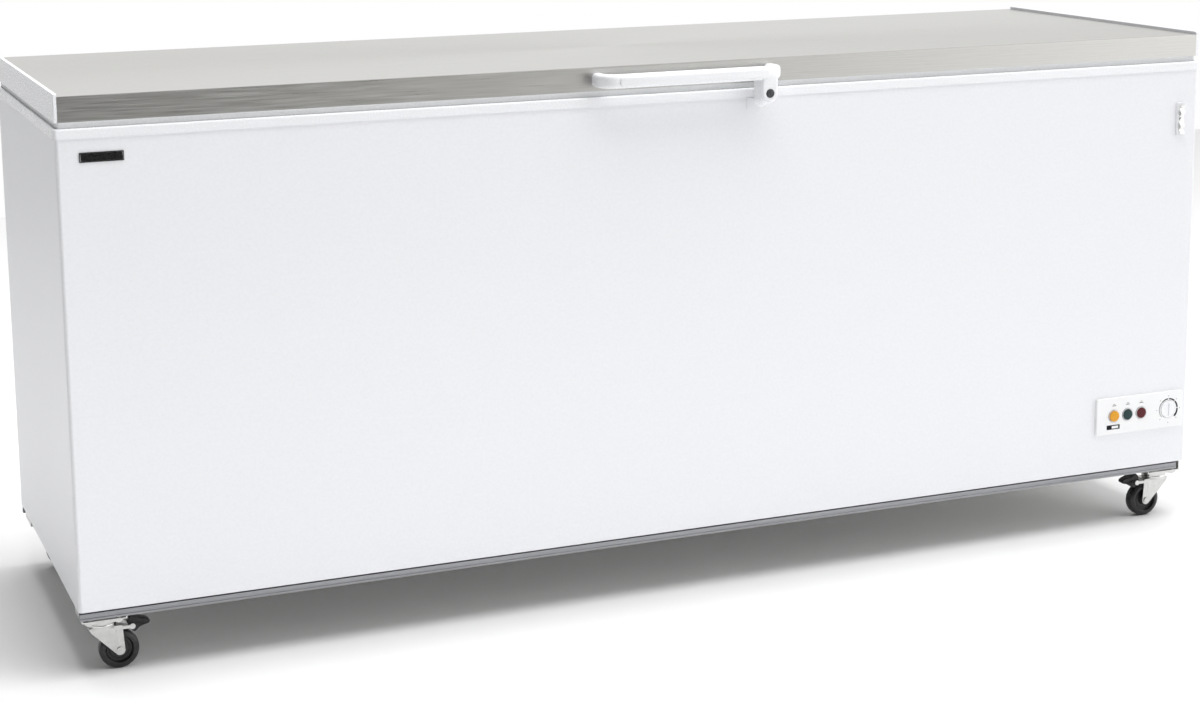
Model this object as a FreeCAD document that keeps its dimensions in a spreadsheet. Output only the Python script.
"""Commercial chest freezer, two metres long, as a parametric FreeCAD document.

Millimetres. X runs along the front from left to right, Y from the front to the back, Z up.
The origin is on the floor, at the middle of the space that the closed freezer takes up.
"""
import FreeCAD, Part
import math
import os
import re
import Sketcher

# alias, value, what it measures
DIMENSIONS = (
    ("cabinet_length", 2050.0, "outer wrap, side to side"),
    ("cabinet_depth", 612.0, "outer wrap, front to back"),
    ("cabinet_height", 736.0, "outer wrap, bottom edge to top edge"),
    ("sheet_gauge", 0.8, "coated steel sheet"),
    ("wrap_bend", 6.0, "outer radius of the wrap's corner bends"),
    ("wall_thickness", 60.0, "wrap face to tank face"),
    ("floor_thickness", 60.0, "wrap's bottom edge to the underside of the tank"),
    ("tank_bend", 26.0, "corner radius of the tank"),
    ("drain_x", -850.0, "drain, from the middle"),
    ("drain_y", 150.0, "drain, from the origin"),
    ("drain_radius", 9.0, "outside of the drain spout"),
    ("drain_bore", 7.0, "bore of the drain spout"),
    ("drain_collar", 12.0, "radius of the spout's collar"),
    ("drain_drop", 15.0, "spout below the bottom pan"),
    ("bay_width", 262.0, "compressor bay, clear width"),
    ("bay_height", 230.0, "compressor bay above the wrap's bottom edge"),
    ("gland_lip", 4.0, "gland bush beyond the bay cover"),
    ("gland_collar", 2.5, "gland flange thickness"),
    ("collar_gauge", 3.0, "drain collar thickness"),
    ("plug_stem", 18.0, "depth of the drain stopper's stem"),
    ("plug_play", 0.3, "play round the drain stopper's stem"),
    ("plug_lip", 4.0, "drain stopper's cap beyond the spout"),
    ("plug_gauge", 5.0, "thickness of the drain stopper's cap"),
    ("grip_width", 14.0, "drain stopper's grip"),
    ("grip_gauge", 3.0, "thickness of the grip"),
    ("grip_height", 12.0, "height of the grip"),
    ("seam_lip", 3.0, "compressor seam beyond the shell"),
    ("seam_height", 5.0, "compressor seam"),
    ("foot_margin", 14.0, "compressor foot plate beyond its grommets"),
    ("relay_width", 52.0, "relay box"),
    ("relay_depth", 44.0, "relay box, before it is fitted to the shell"),
    ("relay_reach", 34.0, "relay box in front of the shell"),
    ("relay_height", 58.0, "relay box"),
    ("relay_z", 24.0, "relay box above the foot plate"),
    ("cover_corner", 7.0, "corner radius of the handle's cover"),
    ("cover_edge", 1.2, "edge rounding of the handle's cover"),
    ("ear_arm", 5.2, "height of the brake pin's arm"),
    ("step_wall", 50.0, "insulation between the bay and the tank"),
    ("rim_height", 15.0, "top frame"),
    ("rim_overhang", 2.0, "top frame beyond the wrap"),
    ("rim_wall", 2.5, "top frame wall"),
    ("rim_edge", 3.0, "rounding of the top frame"),
    ("pan_lift", 2.0, "bottom pan above the wrap's bottom edge"),
    ("rail_gap", 2.8, "shadow line between the wrap and the base rail"),
    ("rail_height", 10.7, "base rail, lip to top flange"),
    ("rail_depth", 9.0, "base rail, front to back"),
    ("rail_gauge", 1.5, "base rail sheet"),
    ("rail_lip", 3.2, "height of the base rail's lower lip"),
    ("rail_setback", 18.0, "base rail short of the right side"),
    ("rail_start", 1.0, "base rail's left end from the left side"),
    ("rail_recess", 1.2, "base rail's upper band behind its lip"),
    ("gasket_gap", 0.4, "gasket above the top frame"),
    ("gasket_height", 9.2, "lid gasket"),
    ("gasket_width", 22.0, "lid gasket"),
    ("gasket_inset", 4.0, "lid gasket inside the lid's edge"),
    ("gasket_slot", 3.0, "groove along the gasket"),
    ("lid_depth", 622.0, "lid, front to back"),
    ("lid_setback", 1.5, "lid's front face behind the wrap's"),
    ("lid_height", 39.2, "lid's front strip"),
    ("lid_bend", 2.5, "bend radius of the lid's steel top"),
    ("cap_width", 5.8, "lid end cap"),
    ("cap_rise", 4.4, "lid end cap above the steel top"),
    ("cap_edge", 1.8, "rounding of the end cap"),
    ("lid_liner_gauge", 1.5, "lid's inner panel"),
    ("plug_depth", 14.0, "lid's inner panel below the lid's edge"),
    ("plug_inset", 95.0, "lid's inner panel from the lid's edge"),
    ("handle_centre", 0.0, "handle, from the middle"),
    ("handle_length", 330.0, "handle, over the feet"),
    ("handle_reach", 47.0, "handle's front, from the wrap's front face"),
    ("handle_shoulder", 12.0, "feet beyond the bar at each end"),
    ("handle_height", 23.0, "handle bar"),
    ("handle_low", 767.5, "handle's underside above the wrap's bottom edge"),
    ("handle_bar", 19.0, "handle bar, front to back, without its cover"),
    ("handle_foot", 36.0, "handle foot, along the lid"),
    ("handle_edge", 7.0, "rounding along the handle"),
    ("handle_cover_gauge", 2.5, "cover strip on the handle's front"),
    ("handle_cover_inset", 5.0, "cover strip from the ends of the bar"),
    ("lock_x", 135.0, "lock, from the middle"),
    ("lock_z", 746.0, "lock above the wrap's bottom edge"),
    ("lug_half_width", 16.0, "lock lug at its back"),
    ("lug_drop", 10.0, "centre of the lug's half circle below the lock's axis, at its back"),
    ("lug_back", 16.0, "lug's back, before the wrap's front face"),
    ("lug_tip", 13.0, "lock lug's half width at its front"),
    ("lug_edge", 2.5, "rounding of the lug's front"),
    ("barrel_radius", 7.4, "lock barrel"),
    ("barrel_play", 0.1, "lock barrel in its bore"),
    ("barrel_proud", 0.8, "lock barrel before the lug"),
    ("cam_gauge", 2.4, "lock cam"),
    ("cam_inner", 16.0, "inner radius of the cam's hook"),
    ("cam_outer", 21.0, "outer radius of the cam's hook"),
    ("cam_hook", 25.0, "angle of the cam's hook, degrees"),
    ("cam_arm", 6.0, "width of the cam's arm"),
    ("keeper_gauge", 1.5, "lock keeper sheet"),
    ("keeper_reach", 15.0, "lock keeper before the wrap"),
    ("panel_x", 823.4, "left edge of the control panel, from the middle"),
    ("panel_z", 70.0, "lower edge of the control panel above the wrap's bottom edge"),
    ("panel_length", 190.0, "control panel"),
    ("panel_height", 68.5, "control panel"),
    ("panel_proud", 5.0, "control panel before the wrap"),
    ("panel_edge", 3.0, "rounding of the control panel"),
    ("panel_border", 12.0, "overlap of the control panel on the wrap"),
    ("control_z", 34.2, "lamps and dial above the panel's lower edge"),
    ("switch_x", 37.4, "freeze switch from the panel's left edge"),
    ("lamp_pitch", 29.8, "between the switch and the lamps"),
    ("lamp_radius", 11.0, "lamp lens"),
    ("lamp_play", 0.25, "lamp or button in its hole"),
    ("lamp_proud", 2.2, "lamp lens before the panel"),
    ("lamp_body", 9.0, "radius of the lamp's body"),
    ("lamp_depth", 30.0, "lamp's body behind the panel"),
    ("button_travel", 2.0, "travel of the freeze switch"),
    ("button_stem", 4.0, "radius of the button's stem"),
    ("dial_x", 157.2, "thermostat dial from the panel's left edge"),
    ("knob_radius", 16.0, "thermostat knob"),
    ("knob_proud", 1.0, "thermostat knob before the panel"),
    ("knob_depth", 5.0, "thermostat knob"),
    ("knob_slot", 3.0, "width of the knob's coin slot"),
    ("shaft_radius", 3.0, "thermostat shaft"),
    ("shaft_play", 0.06, "knob on its shaft"),
    ("badge_x", -990.4, "left edge of the badge, from the middle"),
    ("badge_z", 699.2, "lower edge of the badge above the wrap's bottom edge"),
    ("badge_length", 66.7, "badge"),
    ("badge_height", 15.0, "badge"),
    ("badge_gauge", 1.4, "badge"),
    ("clip_x", 979.5, "left edge of the key clip's plate, from the middle"),
    ("clip_z", 616.0, "lower edge of the key clip's plate above the wrap's bottom edge"),
    ("clip_width", 18.0, "key clip's plate"),
    ("clip_height", 62.0, "key clip's plate"),
    ("clip_gauge", 3.5, "key clip's plate"),
    ("clip_lift", 0.1, "key clip's spring strip off its plate"),
    ("clip_wire", 0.9, "key clip's spring strip"),
    ("clip_wave", 4.2, "wave of the key clip's spring strip"),
    ("hinge_pitch", 700.0, "between neighbouring hinges"),
    ("hinge_width", 60.0, "hinge leaf"),
    ("hinge_gauge", 2.5, "hinge leaf"),
    ("hinge_height", 66.0, "hinge leaf on the cabinet"),
    ("hinge_axis_back", 20.0, "hinge axis behind the wrap"),
    ("hinge_axis_up", 765.0, "hinge axis above the wrap's bottom edge"),
    ("knuckle_radius", 6.0, "hinge knuckle"),
    ("knuckle_length", 14.0, "hinge knuckle"),
    ("pin_radius", 3.0, "hinge pin"),
    ("pin_play", 0.06, "hinge pin in its knuckle"),
    ("screw_radius", 3.6, "head of a cabinet screw"),
    ("screw_head", 1.8, "height of a screw's head"),
    ("shell_radius", 84.0, "compressor shell"),
    ("shell_height", 165.0, "compressor shell"),
    ("shell_dome", 38.0, "rounding of the compressor shell"),
    ("shell_wall", 4.0, "compressor shell wall"),
    ("shell_x", 885.0, "compressor, from the middle"),
    ("shell_y", 160.0, "compressor, from the origin"),
    ("foot_pitch", 150.0, "between the compressor's grommets"),
    ("foot_gauge", 2.5, "compressor's foot plate"),
    ("grommet_radius", 11.0, "compressor grommet"),
    ("grommet_height", 15.0, "compressor grommet"),
    ("tube_radius", 4.0, "refrigerant tube"),
    ("coil_bend", 28.0, "bends of the coils"),
    ("coil_pitch", 62.0, "between the turns of a coil"),
    ("cover_margin", 10.0, "bay cover over the opening in the back panel"),
    ("cover_gauge", 1.2, "bay cover"),
    ("louvre_length", 120.0, "louvre slot"),
    ("louvre_height", 6.0, "louvre slot"),
    ("louvre_pitch", 16.0, "between the louvre slots"),
    ("louvre_count", 9.0, "louvre slots"),
    ("gland_radius", 8.0, "mains gland body"),
    ("gland_bore", 4.5, "mains gland's hole"),
    ("gland_length", 20.0, "mains gland"),
    ("gland_flange", 12.0, "radius of the mains gland's flange"),
    ("castor_height", 88.0, "castor, floor to the top of its plate"),
    ("bracket_height", 21.0, "castor bracket"),
    ("bracket_gauge", 2.0, "castor bracket"),
    ("bracket_size", 70.0, "castor bracket, along the cabinet"),
    ("castor_inset", 40.0, "swivel axis from the cabinet's sides"),
    ("castor_plate", 62.0, "castor's top plate"),
    ("plate_gauge", 3.0, "castor's top plate"),
    ("bolt_pitch", 46.0, "castor's bolt holes"),
    ("bolt_radius", 3.0, "castor bolt"),
    ("bolt_head", 5.0, "radius of a castor bolt's head"),
    ("race_radius", 22.0, "castor's swivel race"),
    ("race_gap", 0.4, "between the two halves of the race"),
    ("trail", 24.5, "wheel's axle from the swivel axis"),
    ("wheel_radius", 31.5, "castor wheel"),
    ("wheel_width", 21.0, "castor wheel"),
    ("wheel_edge", 4.0, "rounding of the tread"),
    ("wheel_web", 5.0, "half thickness of the wheel inside its rim"),
    ("hub_radius", 10.0, "wheel hub"),
    ("rim_inner", 21.0, "inner radius of the wheel's rim"),
    ("axle_radius", 4.0, "axle"),
    ("axle_play", 0.06, "wheel on its axle"),
    ("axle_head", 5.4, "radius of the axle's head"),
    ("cheek_inner", 12.0, "fork cheek from the middle"),
    ("cheek_gauge", 2.0, "fork cheek"),
    ("cheek_top", 72.0, "top of the fork's cheeks above the floor"),
    ("cheek_tip", 8.0, "radius of the cheek around the axle"),
    ("ear_x", 20.8, "pedal's pivot beyond the axle"),
    ("ear_z", 36.0, "pedal's pivot above the axle"),
    ("ear_radius", 4.6, "pedal's ears"),
    ("pedal_width", 20.0, "brake pedal"),
    ("pivot_radius", 2.5, "pedal's pivot"),
    ("pivot_play", 0.1, "pedal on its pivot"),
)

DOC = FreeCAD.newDocument("ChestFreezer")
SHEET = DOC.addObject("Spreadsheet::Sheet", "dims")
SIZE = {}
for row, (alias, value, meaning) in enumerate(DIMENSIONS, start=1):
    SHEET.set(f"A{row}", meaning)
    SHEET.set(f"B{row}", str(value))
    SHEET.setAlias(f"B{row}", alias)
    SIZE[alias] = value
DOC.recompute()

# Places worked out from the dimensions, as formulas over the sheet's aliases.
FRONT = "((handle_reach - cabinet_depth - hinge_axis_back - knuckle_radius) / 2)"
BACK = f"({FRONT} + cabinet_depth)"
RIGHT = "(cabinet_length / 2)"
LEFT = "(-cabinet_length / 2)"
BASE = "(castor_height + bracket_height)"
TOP = f"({BASE} + cabinet_height)"
PAN_TOP = f"({BASE} + pan_lift + sheet_gauge)"
TANK_FLOOR = f"({BASE} + floor_thickness)"
BAY_LEFT = f"({RIGHT} - sheet_gauge - bay_width)"
BAY_TOP = f"({BASE} + bay_height)"
LID_LOW = f"({TOP} + rim_height + gasket_gap + gasket_height)"
LID_TOP = f"({LID_LOW} + lid_height)"
LID_FRONT = f"({FRONT} + lid_setback)"
LID_BACK = f"({FRONT} + lid_depth)"
PANEL_FACE = f"({FRONT} - panel_proud)"
CONTROL_Z = f"({BASE} + panel_z + control_z)"
HINGE_Y = f"({BACK} + hinge_axis_back)"
HINGE_Z = f"({BASE} + hinge_axis_up)"
LOCK_Z = f"({BASE} + lock_z)"
PLUG_OUT = "(cabinet_length - 2 * plug_inset)"

NODES = []


def formula(text):
    """The text with each alias written as a reference to the sheet."""
    return re.sub(r"[a-z][a-z_]*", lambda word: "dims." + word.group() if word.group() in SIZE
                  else word.group(), str(text))


def bind(item, path, text):
    """Binds a property of the item to a formula over the sheet."""
    item.setExpression(path, formula(text))


def value_of(text):
    """The number that a formula gives now, for the pieces made with Part's own functions."""
    probe = SHEET.evalExpression(formula(text))
    return float(getattr(probe, "Value", probe))


def put(item, x=0, y=0, z=0):
    """Binds the item's position."""
    for axis, text in zip("xyz", (x, y, z)):
        bind(item, f"Placement.Base.{axis}", text)
    return item


def node(item, name):
    """Marks an object as a finished sub-part, with its own name."""
    item.Label = name
    NODES.append(item)
    return item


def block(name, low, size):
    """A box from the formulas of its lowest corner and its size."""
    box = DOC.addObject("Part::Box", name)
    for path, text in zip(("Length", "Width", "Height"), size):
        bind(box, path, text)
    return put(box, *low)


TURNS = {"X": (FreeCAD.Vector(0, 1, 0), 90), "Y": (FreeCAD.Vector(1, 0, 0), -90),
         "Z": (FreeCAD.Vector(0, 0, 1), 0)}


def rod(name, axis, start, radius, length):
    """A cylinder along a world axis, from its start towards the axis's positive side."""
    cylinder = DOC.addObject("Part::Cylinder", name)
    bind(cylinder, "Radius", radius)
    bind(cylinder, "Height", length)
    turn_axis, angle = TURNS[axis]
    cylinder.Placement.Rotation = FreeCAD.Rotation(turn_axis, angle)
    return put(cylinder, *start)


def fuse(name, pieces):
    """One solid made of overlapping or touching pieces."""
    joined = DOC.addObject("Part::MultiFuse", name)
    joined.Shapes = pieces
    joined.Refine = True
    return joined


def carve(name, stock, tools):
    """The stock with the tools cut away."""
    result = DOC.addObject("Part::Cut", name)
    result.Base = stock
    result.Tool = tools[0] if len(tools) == 1 else fuse(name + "_tools", tools)
    return result


def group(name, pieces):
    """Identical separate solids that share one node."""
    bundle = DOC.addObject("Part::Compound", name)
    bundle.Links = pieces
    return bundle


def sketch_on(body, plane, offset):
    """An empty sketch on one of the body's own origin planes, moved along the plane's normal."""
    sketch = body.newObject("Sketcher::SketchObject", "profile")
    support = [item for item in body.Origin.OriginFeatures if item.Role == plane + "_Plane"][0]
    sketch.AttachmentSupport = [(support, "")]
    sketch.MapMode = "FlatFace"
    bind(sketch, "AttachmentOffset.Base.z", offset)
    return sketch


def pin_point(sketch, index, point, place):
    """Fixes a point of the sketch's geometry at a pair of formulas."""
    for kind, text in zip(("DistanceX", "DistanceY"), place):
        number = sketch.addConstraint(Sketcher.Constraint(kind, -1, 1, index, point, 1.0))
        bind(sketch, f"Constraints[{number}]", text)


def draw_outline(sketch, corners):
    """Adds a closed outline with straight sides through the corners."""
    first = sketch.GeometryCount
    count = len(corners)
    for number in range(count):
        angle = 2 * math.pi * number / count
        after = 2 * math.pi * (number + 1) / count
        begin = FreeCAD.Vector(math.cos(angle), math.sin(angle), 0)
        end = FreeCAD.Vector(math.cos(after), math.sin(after), 0)
        sketch.addGeometry(Part.LineSegment(begin, end))
    for number in range(count):
        following = first + (number + 1) % count
        sketch.addConstraint(Sketcher.Constraint("Coincident", first + number, 2, following, 1))
        pin_point(sketch, first + number, 1, corners[number])


def draw_circle(sketch, centre, radius):
    """Adds a circle from the formulas of its centre and radius."""
    middle = FreeCAD.Vector(1, 1, 0)
    index = sketch.addGeometry(Part.Circle(middle, FreeCAD.Vector(0, 0, 1), 1.0))
    number = sketch.addConstraint(Sketcher.Constraint("Radius", index, 1.0))
    bind(sketch, f"Constraints[{number}]", radius)
    pin_point(sketch, index, 3, centre)


def rectangle(low, size):
    """The corners of a rectangle from its lowest corner and its size."""
    (x, y), (width, height) = low, size
    far_x = f"{x} + {width}"
    far_y = f"{y} + {height}"
    return [(x, y), (far_x, y), (far_x, far_y), (x, far_y)]


def pad(name, plane, outlines, low, length, circles=()):
    """A body whose sketch, on the XY, XZ or YZ plane, is padded from low towards the plus side."""
    body = DOC.addObject("PartDesign::Body", name)
    start = f"-({low} + {length})" if plane == "XZ" else low
    sketch = sketch_on(body, plane, start)
    for corners in outlines:
        draw_outline(sketch, corners)
    for centre, radius in circles:
        draw_circle(sketch, centre, radius)
    feature = body.newObject("PartDesign::Pad", name + "_pad")
    feature.Profile = sketch
    bind(feature, "Length", length)
    return body


def pocket(body, plane, outlines, low, length, circles=()):
    """Cuts a sketch's outlines out of the body, from low towards the plus side."""
    DOC.recompute()
    before = body.Shape.Volume
    start = f"-({low})" if plane == "XZ" else f"{low} + {length}"
    sketch = sketch_on(body, plane, start)
    for corners in outlines:
        draw_outline(sketch, corners)
    for centre, radius in circles:
        draw_circle(sketch, centre, radius)
    feature = body.newObject("PartDesign::Pocket", body.Name + "_pocket")
    feature.Profile = sketch
    bind(feature, "Length", length)
    DOC.recompute()
    if body.Shape.Volume > before - 0.01:
        raise ValueError(f"the pocket in {body.Name} cuts nothing")
    return feature


def round_off(body, radius, chosen):
    """Rounds the edges of the body that the test chooses."""
    DOC.recompute()
    names = [f"Edge{number}" for number, edge in enumerate(body.Shape.Edges, start=1) if chosen(edge)]
    if not names:
        raise ValueError(f"no edge of {body.Name} is chosen")
    last = body.Tip
    rounding = body.newObject("PartDesign::Fillet", body.Name + "_fillet")
    rounding.Base = (last, names)
    bind(rounding, "Radius", radius)


def runs_along(axis):
    """A test for straight edges parallel to a world axis."""
    number = "XYZ".index(axis)

    def test(edge):
        ends = [vertex.Point for vertex in edge.Vertexes]
        if len(ends) != 2:
            return False
        step = ends[1] - ends[0]
        return abs(step[number]) > 0.999 * edge.Length
    return test


def lies_at(axis, text):
    """A test for edges that lie wholly at one coordinate."""
    place = value_of(text)
    low, high = {"X": ("XMin", "XMax"), "Y": ("YMin", "YMax"), "Z": ("ZMin", "ZMax")}[axis]

    def test(edge):
        box = edge.BoundBox
        return abs(getattr(box, low) - place) < 0.01 and abs(getattr(box, high) - place) < 0.01
    return test


def bent_path(points, radius):
    """A wire of straight runs through the points, with a tangent arc at each inner point."""
    vectors = [FreeCAD.Vector(*point) for point in points]
    edges = []
    begin = vectors[0]
    for before, corner, after in zip(vectors, vectors[1:], vectors[2:]):
        inward = (before - corner).normalize()
        outward = (after - corner).normalize()
        half = inward.getAngle(outward) / 2
        reach = radius / math.tan(half)
        middle = corner + (inward + outward).normalize() * (radius / math.sin(half) - radius)
        arc_start = corner + inward * reach
        arc_end = corner + outward * reach
        edges.append(Part.makeLine(begin, arc_start))
        edges.append(Part.Arc(arc_start, middle, arc_end).toShape())
        begin = arc_end
    edges.append(Part.makeLine(begin, vectors[-1]))
    return Part.Wire(edges)


def tube(points, bend, radius):
    """A solid round tube along a bent path."""
    path = bent_path(points, bend)
    heading = FreeCAD.Vector(*points[1]) - FreeCAD.Vector(*points[0])
    section = Part.Wire(Part.makeCircle(radius, FreeCAD.Vector(*points[0]), heading))
    solid = path.makePipeShell([section], True, False)
    expected = math.pi * radius ** 2 * path.Length
    if abs(solid.Volume / expected - 1) > 0.02:
        raise ValueError("a tube's volume differs from its section times its length")
    return solid


def feature(name, shape):
    """A finished sub-part whose shape Part's own functions made."""
    item = DOC.addObject("Part::Feature", name)
    item.Shape = shape
    return node(item, name)


# ---------------------------------------------------------------- cabinet shell


def make_outer_wrap():
    """One sheet bent round the front and both sides, with an opening behind the control panel."""
    inner_left = f"{LEFT} + sheet_gauge"
    inner_right = f"{RIGHT} - sheet_gauge"
    inner_front = f"{FRONT} + sheet_gauge"
    corners = [(LEFT, FRONT), (RIGHT, FRONT), (RIGHT, BACK), (inner_right, BACK),
               (inner_right, inner_front), (inner_left, inner_front), (inner_left, BACK), (LEFT, BACK)]
    wrap = pad("outer_wrap", "XY", [corners], BASE, "cabinet_height")
    upright = runs_along("Z")
    at_front = lies_at("Y", FRONT)
    at_inside = lies_at("Y", inner_front)
    round_off(wrap, "wrap_bend", lambda edge: upright(edge) and at_front(edge))
    round_off(wrap, "wrap_bend - sheet_gauge", lambda edge: upright(edge) and at_inside(edge))
    opening = rectangle(("panel_x + panel_border", f"{BASE} + panel_z + panel_border / 2"),
                        ("(panel_length - 2 * panel_border)", "(panel_height - panel_border)"))
    pocket(wrap, "XZ", [opening], FRONT, "sheet_gauge")
    node(wrap, "outer_wrap")


def bay_opening(margin):
    """The corners of the opening into the compressor bay, grown by a margin."""
    low = (f"{BAY_LEFT} + 2 * cover_margin - {margin}", f"{BASE} + 2 * cover_margin - {margin}")
    size = (f"(bay_width - 4 * cover_margin + 2 * {margin})",
            f"(bay_height - 4 * cover_margin + 2 * {margin})")
    return rectangle(low, size)


def make_back_panel():
    """The flat rear sheet, between the wrap's sides, open at the compressor bay."""
    outline = rectangle((f"{LEFT} + sheet_gauge", BASE),
                        ("(cabinet_length - 2 * sheet_gauge)", "cabinet_height"))
    panel = pad("back_panel", "XZ", [outline], f"{BACK} - sheet_gauge", "sheet_gauge")
    pocket(panel, "XZ", [bay_opening("0")], f"{BACK} - sheet_gauge", "sheet_gauge")
    node(panel, "back_panel")


def tank_form(name, inset, rise):
    """The solid that fills the stepped tank, smaller by the inset and taller by the rise."""
    left = f"{LEFT} + wall_thickness + {inset}"
    right = f"{RIGHT} - wall_thickness - {inset}"
    low = f"{TANK_FLOOR} + {inset}"
    step_x = f"{BAY_LEFT} - step_wall - {inset}"
    step_z = f"{BAY_TOP} + step_wall + {inset}"
    high = f"{TOP} + {rise}"
    corners = [(left, low), (step_x, low), (step_x, step_z), (right, step_z), (right, high), (left, high)]
    form = pad(name, "XZ", [corners], f"{FRONT} + wall_thickness + {inset}",
               f"(cabinet_depth - 2 * wall_thickness - 2 * {inset})")
    top_edge = lies_at("Z", high)
    round_off(form, f"tank_bend - {inset}", lambda edge: not top_edge(edge))
    return form


def make_tank_and_foam():
    """The aluminium tank and the foam between it and the outer sheets."""
    outside = tank_form("tank_outside", "0", "0")
    inside = tank_form("tank_inside", "sheet_gauge", "rim_height")
    drain = rod("drain_hole", "Z", ("drain_x", "drain_y", BASE), "drain_radius", "2 * floor_thickness")
    node(carve("inner_liner", outside, [inside, drain]), "inner_liner")
    stock = pad("foam_stock", "XY", [rectangle(
        (f"{LEFT} + sheet_gauge", f"{FRONT} + sheet_gauge"),
        ("(cabinet_length - 2 * sheet_gauge)", "(cabinet_depth - 2 * sheet_gauge)"))],
        PAN_TOP, f"(cabinet_height - pan_lift - sheet_gauge)")
    upright = runs_along("Z")
    at_front = lies_at("Y", f"{FRONT} + sheet_gauge")
    round_off(stock, "wrap_bend - sheet_gauge", lambda edge: upright(edge) and at_front(edge))
    ring = rim_channel("foam_ring")
    bay = block("bay_space", (BAY_LEFT, f"{FRONT} + sheet_gauge", BASE),
                ("bay_width", "(cabinet_depth - 2 * sheet_gauge)", "bay_height"))
    foam = carve("foam_whole", fuse("foam_stack", [stock, ring]), [outside, bay, drain])
    node(group("insulation_foam", foam_slabs(foam)), "insulation_foam")


def foam_slabs(foam):
    """The foam as touching solids: four wall slabs, the floor slab, and the step with the roundings."""
    left, front = f"{LEFT} + wall_thickness", f"{FRONT} + wall_thickness"
    height = "cabinet_height + rim_height"
    along = ("cabinet_length", "wall_thickness", height)
    between = ("wall_thickness", "(cabinet_depth - 2 * wall_thickness)", height)
    under = ("(cabinet_length - 2 * wall_thickness)", between[1], "floor_thickness")
    spaces = [
        block("front_wall", (LEFT, FRONT, BASE), along),
        block("back_wall", (LEFT, f"{BACK} - wall_thickness", BASE), along),
        block("left_wall", (LEFT, front, BASE), between),
        block("right_wall", (f"{RIGHT} - wall_thickness", front, BASE), between),
        block("floor_space", (left, front, BASE), under)]
    slabs = [carve("step_slab", foam, spaces)]
    for space in spaces:
        slab = DOC.addObject("Part::MultiCommon", f"{space.Name}_slab")
        slab.Shapes = [foam, space]
        slabs.append(slab)
    return slabs


def rim_channel(name):
    """The ring of foam that fills the underside of the top frame."""
    outer = f"(wall_thickness - rim_wall)"
    low = (f"{LEFT} - rim_overhang + rim_wall", f"{FRONT} - rim_overhang + rim_wall")
    grow = "2 * rim_overhang - 2 * rim_wall"
    outside = rectangle(low, (f"(cabinet_length + {grow})", f"(cabinet_depth + {grow})"))
    inside = rectangle((f"{LEFT} + {outer} + sheet_gauge", f"{FRONT} + {outer} + sheet_gauge"),
                       (f"(cabinet_length - 2 * {outer} - 2 * sheet_gauge)",
                        f"(cabinet_depth - 2 * {outer} - 2 * sheet_gauge)"))
    ring = pad(name, "XY", [outside, inside], TOP, "rim_height - rim_wall")
    round_off(ring, "tank_bend - sheet_gauge + rim_wall", inner_corners())
    return ring


def inner_corners():
    """A test for the upright edges round the tank's mouth, well inside the wrap."""
    upright = runs_along("Z")
    reach = SIZE["cabinet_length"] / 2 - SIZE["wall_thickness"] / 2
    return lambda edge: upright(edge) and abs(edge.BoundBox.XMin) < reach


def make_top_rim():
    """The white plastic frame over the tops of the walls, a channel that is open underneath."""
    outside = rectangle((f"{LEFT} - rim_overhang", f"{FRONT} - rim_overhang"),
                        ("(cabinet_length + 2 * rim_overhang)", "(cabinet_depth + 2 * rim_overhang)"))
    wall = "wall_thickness + sheet_gauge"
    inside = rectangle((f"{LEFT} + {wall}", f"{FRONT} + {wall}"),
                       (f"(cabinet_length - 2 * ({wall}))", f"(cabinet_depth - 2 * ({wall}))"))
    rim = pad("rim_stock", "XY", [outside, inside], TOP, "rim_height")
    at_mouth = inner_corners()
    upright = runs_along("Z")
    round_off(rim, "2 * rim_edge", lambda edge: upright(edge) and not at_mouth(edge))
    round_off(rim, "tank_bend - sheet_gauge", at_mouth)
    at_top = lies_at("Z", f"{TOP} + rim_height")
    round_off(rim, "rim_edge", at_top)
    node(carve("top_rim", rim, [rim_channel("rim_space")]), "top_rim")


def make_bottom_pan():
    """The galvanised floor sheet, with holes for the drain."""
    size = ("(cabinet_length - 2 * sheet_gauge)", "(cabinet_depth - 2 * sheet_gauge)")
    outline = rectangle((f"{LEFT} + sheet_gauge", f"{FRONT} + sheet_gauge"), size)
    pan = pad("bottom_pan", "XY", [outline], f"{BASE} + pan_lift", "sheet_gauge",
              circles=[(("drain_x", "drain_y"), "drain_radius")])
    upright = runs_along("Z")
    at_front = lies_at("Y", f"{FRONT} + sheet_gauge")
    round_off(pan, "wrap_bend - sheet_gauge", lambda edge: upright(edge) and at_front(edge))
    node(pan, "bottom_pan")


def rail_outline(face, side):
    """The rail's section: upper band, forward lip, floor and a web up to the bottom pan."""
    def across(text):
        return f"{face} + {side} * ({text})"
    low = f"{BASE} - rail_gap - rail_height"
    lip = f"{low} + rail_lip"
    high = f"{BASE} - rail_gap"
    roof = f"{BASE} + pan_lift"
    inner = across("rail_depth - rail_gauge")
    return [(across("0"), low), (across("rail_depth"), low), (across("rail_depth"), roof),
            (inner, roof), (inner, high),
            (across("rail_recess"), high), (across("rail_recess"), lip), (across("0"), lip)]


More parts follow.
